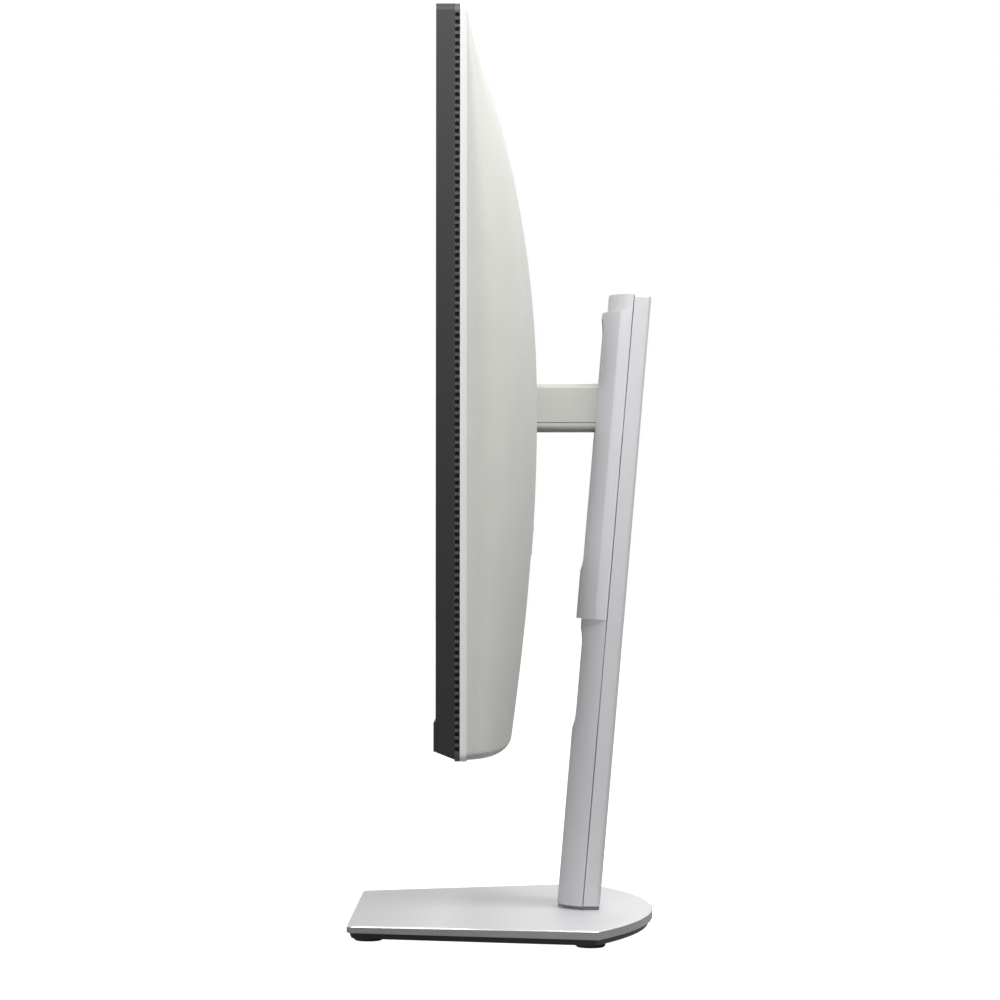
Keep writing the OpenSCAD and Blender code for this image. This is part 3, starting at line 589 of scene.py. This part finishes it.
def pillowTree():
    # the swelling skin: depth = swell x across(x) x above(z) x below(z), less a round foot
    tree, given = newTree("pillowSkin", {
        "Width": 0.6, "Bottom": 0.1, "Height": 0.35, "Rim": -0.02, "Swell": 0.035, "Crest": 0.28,
        "Reach": 0.35, "Foot Round": 0.004, "Corner Round": 0.004, "Columns": 100, "Rows": 80,
        "Material": None,
    })

    def do(operation, a, b=0.0, clamped=False):
        return calc(tree, operation, a, b, clamped)

    grid = addNode(tree, "GeometryNodeMeshGrid", {
        "Size X": 1.0, "Size Y": 1.0, "Vertices X": given["Columns"], "Vertices Y": given["Rows"],
    })
    at = addNode(tree, "ShaderNodeSeparateXYZ", {0: tree.nodes.new("GeometryNodeInputPosition").outputs[0]})
    across = do("SINE", do("MULTIPLY", at.outputs[0], math.pi))
    up = do("SINE", do("MULTIPLY", at.outputs[1], math.pi))
    upShare = do("MULTIPLY", do("ADD", up, 1.0), 0.5)
    rise = do("MULTIPLY", upShare, given["Height"])
    z = do("ADD", rise, given["Bottom"])
    top = do("ADD", given["Bottom"], given["Height"])
    # corners: each row near the top or bottom is as wide as the round corner leaves it
    fromTop = do("SUBTRACT", top, z)
    toEdge = do("MINIMUM", do("MINIMUM", rise, fromTop), given["Corner Round"])
    short = do("SUBTRACT", given["Corner Round"], toEdge)
    square = do("SUBTRACT", do("POWER", given["Corner Round"], 2.0), do("POWER", short, 2.0))
    cut = do("SUBTRACT", given["Corner Round"], do("SQRT", do("MAXIMUM", square, 0.0)))
    halfWidth = do("SUBTRACT", do("MULTIPLY", given["Width"], 0.5), cut)
    x = do("MULTIPLY", across, halfWidth)
    # the three swell factors
    side = do("SUBTRACT", 1.0, do("POWER", do("ABSOLUTE", across), rearCover["sideFall"]), clamped=True)
    side = do("POWER", side, rearCover["sideBlend"])
    overCrest = do("SUBTRACT", z, given["Crest"])
    over = do("DIVIDE", overCrest, do("SUBTRACT", top, given["Crest"]), clamped=True)
    above = do("SUBTRACT", 1.0, do("POWER", over, rearCover["topFall"]), clamped=True)
    above = do("POWER", above, rearCover["topBlend"])
    under = do("DIVIDE", do("MULTIPLY", overCrest, -1.0), given["Reach"], clamped=True)
    below = do("SUBTRACT", 1.0, do("POWER", under, rearCover["footFall"]), clamped=True)
    below = do("POWER", below, rearCover["footBlend"])
    upper = do("MULTIPLY", side, above)
    depth = do("MULTIPLY", upper, do("MULTIPLY", below, given["Swell"]))
    # round foot
    foot = do("DIVIDE", do("SUBTRACT", given["Foot Round"], rise), given["Foot Round"], clamped=True)
    arc = do("SQRT", do("SUBTRACT", 1.0, do("POWER", foot, 2.0), clamped=True))
    pull = do("MULTIPLY", do("SUBTRACT", 1.0, arc), given["Foot Round"])
    depth = do("MAXIMUM", do("SUBTRACT", depth, pull), 0.0)
    y = do("ADD", given["Rim"], depth)
    place = addNode(tree, "ShaderNodeCombineXYZ", {0: x, 1: y, 2: z})
    moved = addNode(tree, "GeometryNodeSetPosition", {
        "Geometry": grid.outputs["Mesh"], "Position": place.outputs[0],
    })
    flipped = addNode(tree, "GeometryNodeFlipFaces", {"Mesh": moved.outputs[0]})
    endTree(tree, flipped.outputs[0], given["Material"])
    return tree


def closeShell(skin, low, high, frontY):
    # gives the skin its rim, groove and inner wall
    step, groove, wall = rearCover["step"], rearCover["groove"], rearCover["wall"]
    middle = Vector(((low.x + high.x) / 2, 0, (low.z + high.z) / 2))
    half = Vector(((high.x - low.x) / 2, 1, (high.z - low.z) / 2))
    shoulder = frontY + rearCover["rimDepth"]
    bm = bmesh.new()
    bm.from_mesh(skin.data)
    outer = list(bm.verts)
    border = [e for e in bm.edges if e.is_boundary]
    skinFaces = list(bm.faces)

    def shrunk(point, inset):
        # inset is measured from the rim's own outside
        kx = (half.x - inset) / (half.x - step)
        kz = (half.z - inset) / (half.z - step)
        return Vector((middle.x + (point.x - middle.x) * kx, point.y, middle.z + (point.z - middle.z) * kz))

    # inner skin, one wall thickness in
    inner = {}
    for v in outer:
        p = shrunk(v.co, wall + step)
        p.y = max(frontY + rearCover["innerGap"], v.co.y - wall)
        inner[v] = bm.verts.new(p)
    for face in skinFaces:
        bm.faces.new([inner[v] for v in reversed(face.verts)])
    # rings from the skin's edge round the rim to the inner skin's edge
    lip = rearCover["lipSoft"]
    rings = [
        (step, shoulder - groove),
        (step * rearCover["grooveFloor"], shoulder - groove),
        (step * rearCover["grooveLip"], shoulder - rearCover["grooveDrop"]),
        (0.0, shoulder - rearCover["shoulderSoft"]),
        (0.0, frontY + lip),
        (lip, frontY),
        (wall + step, frontY),
    ]
    rimRings = range(1, len(rings) - 1)
    edgeVerts = {v for e in border for v in e.verts}
    chain = {v: [v] for v in edgeVerts}
    for inset, y in rings:
        for v in edgeVerts:
            p = shrunk(v.co, inset)
            p.y = y
            chain[v].append(bm.verts.new(p))
    for v in edgeVerts:
        chain[v].append(inner[v])
    rimFaces = []
    for e in border:
        a, b = e.verts
        for k in range(len(rings) + 1):
            quad = (chain[a][k], chain[b][k], chain[b][k + 1], chain[a][k + 1])
            face = bm.faces.new(quad)
            if k in rimRings:
                rimFaces.append(face)
    for face in bm.faces:
        face.material_index = 0
    for face in rimFaces:
        face.material_index = 1
    fixNormals(bm)
    bm.to_mesh(skin.data)
    bm.free()
    return skin


def cylinderCutter(name, centre, axis, radius, low, high):
    bm = bmesh.new()
    steps = 64
    loops = [[], []]
    for k in range(steps):
        turn = 2 * math.pi * k / steps
        u, w = radius * math.cos(turn), radius * math.sin(turn)
        for loop, at in zip(loops, (low, high)):
            place = (centre[0] + u, at, centre[1] + w) if axis == "y" else (centre[0] + u, centre[1] + w, at)
            loop.append(bm.verts.new(place))
    bm.faces.new(loops[0])
    bm.faces.new(list(reversed(loops[1])))
    for k in range(steps):
        j = (k + 1) % steps
        bm.faces.new((loops[0][k], loops[1][k], loops[1][j], loops[0][j]))
    fixNormals(bm)
    return meshPiece(name, bm)


def slabCutter(name, halfX, lowZ, highZ, y0, y1, radius):
    bm = bmesh.new()
    roundedSlab(bm, halfX, lowZ, highZ, y0, y1, radius)
    fixNormals(bm)
    return meshPiece(name, bm)


def makeRearCover():
    low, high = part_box("rear_cover")
    frontY = low.y
    step = rearCover["step"]
    tree = pillowTree()
    headMiddle = (low.z + high.z) / 2
    skin = grow("rearShell", tree, {
        "Width": high.x - low.x - 2 * step,
        "Bottom": low.z + step,
        "Height": high.z - low.z - 2 * step,
        "Rim": frontY + rearCover["rimDepth"],
        "Swell": rearCover["swell"],
        "Crest": headMiddle - rearCover["crestBelowMiddle"],
        "Reach": rearCover["reach"],
        "Foot Round": rearCover["footRound"],
        "Corner Round": rearCover["cornerRound"] - step,
        "Columns": rearCover["columns"],
        "Rows": rearCover["rows"],
        "Material": materials["coverPlastic"],
    })
    skin.data.materials.clear()
    skin.data.materials.append(materials["coverPlastic"])
    skin.data.materials.append(materials["rimPlastic"])
    closeShell(skin, low, high, frontY)
    gap = coverCuts["gap"]
    trayLow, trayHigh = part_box("mount_tray")
    front, back, corner = coverCuts["pocket"]
    carve(skin, slabCutter("cutPocket", trayHigh.x + gap, trayLow.z - gap, trayHigh.z + gap,
                           front, back, corner))
    bayLow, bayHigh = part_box("io_tray")
    back, corner = coverCuts["bay"]
    carve(skin, slabCutter("cutBay", bayHigh.x + gap, low.z - coverCuts["bayBelow"], bayHigh.z + gap,
                           bayLow.y - gap, back, corner))
    cupLow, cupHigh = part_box("joystick_cup")
    cupCentre = ((cupLow.x + cupHigh.x) / 2, (cupLow.z + cupHigh.z) / 2)
    cupR = (cupHigh.x - cupLow.x) / 2 + gap
    carve(skin, cylinderCutter("cutCup", cupCentre, "y", cupR, *coverCuts["cup"]))
    keyLow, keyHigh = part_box("release_button")
    inset = coverCuts["releaseInset"]
    front, back, corner = coverCuts["release"]
    carve(skin, slabCutter("cutRelease", keyHigh.x - inset, keyLow.z + inset, keyHigh.z - inset,
                           front, back, corner))
    buttonLow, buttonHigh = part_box("power_button")
    buttonCentre = ((buttonLow.x + buttonHigh.x) / 2, (buttonLow.y + buttonHigh.y) / 2)
    under, over = coverCuts["button"]
    carve(skin, cylinderCutter("cutButton", buttonCentre, "z", coverCuts["buttonRadius"],
                               low.z + under, low.z + over))
    smoothed(skin, rearCover["sharp"])
    standFor(skin, "rear_cover")


makeRearCover()
print("rear cover ready")


# vent strip

vents = {
    "pitch": 3.44 * mm,
    "slot": 2.0 * mm,
    "sideSlots": 101,
    "topSlots": 171,
    "wall": 2.0 * mm,
    "lip": 0.1 * mm,
    "backLip": 0.2 * mm,
    "corner": 4 * mm,
    # the thickness of the black sheet of painted shade behind the slots
    "shadeSheet": 0.4 * mm,
}


def slotRowTree():
    # a straight row of slot-shaped blocks
    tree, given = newTree("slotRow", {
        "Count": 10, "Start": (0.0, 0.0, 0.0), "Spacing": (0.0, 0.0, 0.01), "Slot Size": (0.01, 0.01, 0.01),
        "Material": None,
    })
    line = addNode(tree, "GeometryNodeMeshLine", {
        "Count": given["Count"], "Start Location": given["Start"], "Offset": given["Spacing"],
    })
    block = addNode(tree, "GeometryNodeMeshCube", {"Size": given["Slot Size"]})
    row = addNode(tree, "GeometryNodeInstanceOnPoints", {
        "Points": line.outputs[0], "Instance": block.outputs[0],
    })
    endTree(tree, row.outputs[0], given["Material"])
    return tree


def makeVentStrip():
    low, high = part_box("vent_strip")
    wall, pitch = vents["wall"], vents["pitch"]
    bm = bmesh.new()
    roundedSlab(bm, high.x, low.z, high.z, low.y, high.y, vents["corner"])
    fixNormals(bm)
    strip = meshPiece("ventStrip", bm, "ventPlastic")
    carve(strip, slabCutter("cutMiddle", high.x - wall, low.z + wall, high.z - wall,
                            low.y - mm, high.y + mm, vents["corner"] - wall))
    tree = slotRowTree()
    middleZ = (low.z + high.z) / 2
    slotY = (low.y + vents["lip"] + high.y - vents["backLip"]) / 2
    slotDepth = high.y - low.y - vents["lip"] - vents["backLip"]
    firstZ = middleZ - pitch * (vents["sideSlots"] - 1) / 2
    firstX = -pitch * (vents["topSlots"] - 1) / 2
    across = wall * 3
    rows = []
    sideSize = (across, slotDepth, vents["slot"])
    for sign in (-1, 1):
        rows.append(("sideSlots", (sign * high.x, slotY, firstZ), (0, 0, pitch), sideSize))
    rows.append(("topSlots", (firstX, slotY, high.z), (pitch, 0, 0), (vents["slot"], slotDepth, across)))
    for countName, start, spacing, size in rows:
        cutter = grow("cutSlots", tree, {
            "Count": vents[countName], "Start": start, "Spacing": spacing, "Slot Size": size,
            "Material": materials["ventPlastic"],
        })
        carve(strip, cutter)
    strip.data.materials.clear()
    strip.data.materials.append(materials["ventPlastic"])
    smoothed(strip)
    standFor(strip, "vent_strip")
    # a deep black sheet just inside the strip's wall, right behind the slots: painted shade, standing in for
    # the dark inside seen through the vents
    shadeMesh = bmesh.new()
    roundedSlab(shadeMesh, high.x - wall, low.z + wall, high.z - wall, low.y, high.y, vents["corner"] - wall)
    fixNormals(shadeMesh)
    shadeSheet = meshPiece("ventShadeSheet", shadeMesh, "paintedShadeBlack")
    thin = vents["shadeSheet"]
    carve(shadeSheet, slabCutter("cutShadeSheet", high.x - wall - thin, low.z + wall + thin, high.z - wall - thin,
                            low.y - mm, high.y + mm, vents["corner"] - wall - thin))
    smoothed(shadeSheet)
    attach(shadeSheet, bodyOf("vent_strip"))


makeVentStrip()
print("vent strip ready")


# rounded copies of the CAD shells

# piece name: node, edge rounding in millimetres, finish
softPieces = {
    "frontFrame": ("front_frame", 0.5, "framePlastic"),
    "chinBar": ("chin_bezel", 0.5, "framePlastic"),
    "screenGlass": ("lcd_glass", 0.25, "screenGlass"),
    "neckTop": ("neck_upper_cover", 0.4, "neckPlastic"),
    "neckUnder": ("neck_lower_cover", 0.4, "neckPlastic"),
    # the swivel disc is a real part, but its dark steel is chosen so the thin band under the column reads as
    # a dark line: partly painted shade of the gap there
    "swivelDisc": ("swivel_hub", 0.1, "darkSteel"),
    "cableHoleTrim": ("cable_hole_trim", 0.3, "columnPaint"),
    "socketBay": ("io_tray", 0.5, "darkPlastic"),
    "mountTray": ("mount_tray", 0.5, "darkPlastic"),
    "mountPlate": ("mount_plate", 0.5, "darkSteel"),
    "tiltBracket": ("tilt_bracket", 0.4, "darkSteel"),
    "releaseKey": ("release_button", 0.5, "darkPlastic"),
    "powerKey": ("power_button", 0.4, "framePlastic"),
    "stickCup": ("joystick_cup", 0.3, "darkPlastic"),
    "stickCap": ("joystick_cap", 0.15, "framePlastic"),
    "feetPads": ("base_feet", 0.6, "rubber"),
    "neckBar": ("neck_core", 0.6, "dieCast"),
    "slideCarriage": ("lift_carriage", 0.4, "dieCast"),
    "mainsInlet": ("power_inlet", 0.3, "blackPlastic"),
}


for pieceName, (node, rounding, finishName) in softPieces.items():
    softCopy(pieceName, node, rounding * mm, finishName)
print("rounded shells ready:", len(softPieces))


# base plate

base = {
    "chamfer": 0.6 * mm,
    "softEdge": 0.15 * mm,
    "underFlare": 1.3 * mm,    # how much wider the black frame is at its top than at its bottom
    "sideSlope": 0.5,          # a face whose normal rises less than this is a side
    "topSlope": 0.98,
    "edgeFrom": 2 * mm,        # the chamfered edges lie above this height of the plate
    "sharp": 25,
    "underSoft": 0.4 * mm,
}


def makeBasePlate():
    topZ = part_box("base_plate")[0].z + base["edgeFrom"]

    def topEdge(edge):
        heights = [v.co.z for v in edge.verts]
        slopes = sorted(abs(f.normal.z) for f in edge.link_faces)
        return min(heights) > topZ and slopes[0] < base["sideSlope"] and slopes[1] > base["topSlope"]

    bm = mergedCopy("base_plate")
    for face in bm.faces:
        face.material_index = 2 if abs(face.normal.z) < base["sideSlope"] else 0
    edges = [e for e in bm.edges if topEdge(e)]
    bmesh.ops.bevel(bm, geom=edges, offset=base["chamfer"], segments=1, profile=0.5, affect="EDGES",
                    material=1)
    piece = meshPiece("basePlate", bm, "silverPaint", "cutEdge", "brushedSide")
    roundEdges(smoothed(piece, base["sharp"]), base["softEdge"])
    standFor(piece, "base_plate")


def makeUnderFrame():
    # the black frame flares out to meet the metal plate
    piece = softCopy("underFrame", "base_underframe", base["underSoft"], "blackPlastic")
    low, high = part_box("base_underframe")
    for v in piece.data.vertices:
        share = (v.co.z - low.z) / (high.z - low.z)
        v.co.x *= 1 + base["underFlare"] / high.x * share
        v.co.y *= 1 + base["underFlare"] / high.y * share


makeBasePlate()
makeUnderFrame()
print("base ready")


# column

column = {
    "soft": 0.2 * mm,
    "topRound": 2.2 * mm,
    "frontTopRound": 1.0 * mm,
    "coverSoft": 0.35 * mm,
    "coverShoulder": 3.2 * mm,
    "longEdge": 40 * mm,
    "shoulderTurn": (20, 60),    # degrees between the faces of a shoulder
    "lidSlope": 0.99,
    "sideSlope": 0.3,
    "seamSlope": 0.9,
}


def makeColumn():
    up = Vector(next(j["axis"] for j in frame["joints"] if j["name"] == "height"))
    back = Vector((0, up.z, -up.y))

    def topEdge(edge, seamSign, topLine):
        # the outer edges of the top, but not the one along the seam
        faces = sorted(edge.link_faces, key=lambda f: f.normal.dot(up))
        side, lid = faces[0].normal, faces[1].normal
        reach = min(v.co.dot(up) for v in edge.verts)
        upright = lid.dot(up) > column["lidSlope"] and abs(side.dot(up)) < column["sideSlope"]
        return upright and side.dot(back) * seamSign < column["seamSlope"] and reach > topLine

    for name, node, seamSign, rounding in (
        ("columnFront", "column_front", 1, column["frontTopRound"]),
        ("columnRear", "column_rear_cover", -1, column["topRound"]),
    ):
        topLine = max(v.co.dot(up) for v in nodes[node].data.vertices) - column["soft"]
        softCopy(name, node, column["soft"], "columnPaint",
                 wideEdges=lambda edge, sign=seamSign, line=topLine: topEdge(edge, sign, line),
                 wideWidth=rounding)

    def shoulder(edge):
        turn = math.degrees(edge.calc_face_angle(0))
        least, most = column["shoulderTurn"]
        return edge.is_convex and least < turn < most and edge.calc_length() > column["longEdge"]

    softCopy("slotCover", "slot_cover", column["coverSoft"], "columnPaint",
             wideEdges=shoulder, wideWidth=column["coverShoulder"])


makeColumn()
print("column ready")


# finishes of the CAD nodes that stay

nodeFinishes = {
    "naturalNylon": ["hub_bushing", "carriage_bushes", "pivot_washers"],
    "plainSteel": ["hub_retainer", "column_foot", "column_spine", "vesa_plate", "release_latch",
                   "panel_chassis", "shield_can", "pivot_nut", "spring_strip", "hdmi_sockets", "usb_sockets",
                   "usb_c_socket", "joystick_ring", "spring_coil"],
    "darkSteel": ["base_screws", "stand_screw", "foot_screws", "neck_screws"],
    "brightSteel": ["slide_rods", "tilt_pin", "pivot_spindle", "spring_axle"],
    "dieCast": ["heat_sink"],
    "darkPlastic": ["tilt_washers", "rod_blocks", "speakers", "joystick_stem"],
    "clearAcrylic": ["light_guide"],
    "ledCream": ["led_strip"],
    "boardGreen": ["main_board"],
    "boardTan": ["power_board"],
}


def paintNodes():
    for finishName, members in nodeFinishes.items():
        for member in members:
            mesh = nodes[member].data
            mesh.materials.clear()
            mesh.materials.append(materials[finishName])


paintNodes()
print("CAD nodes painted")
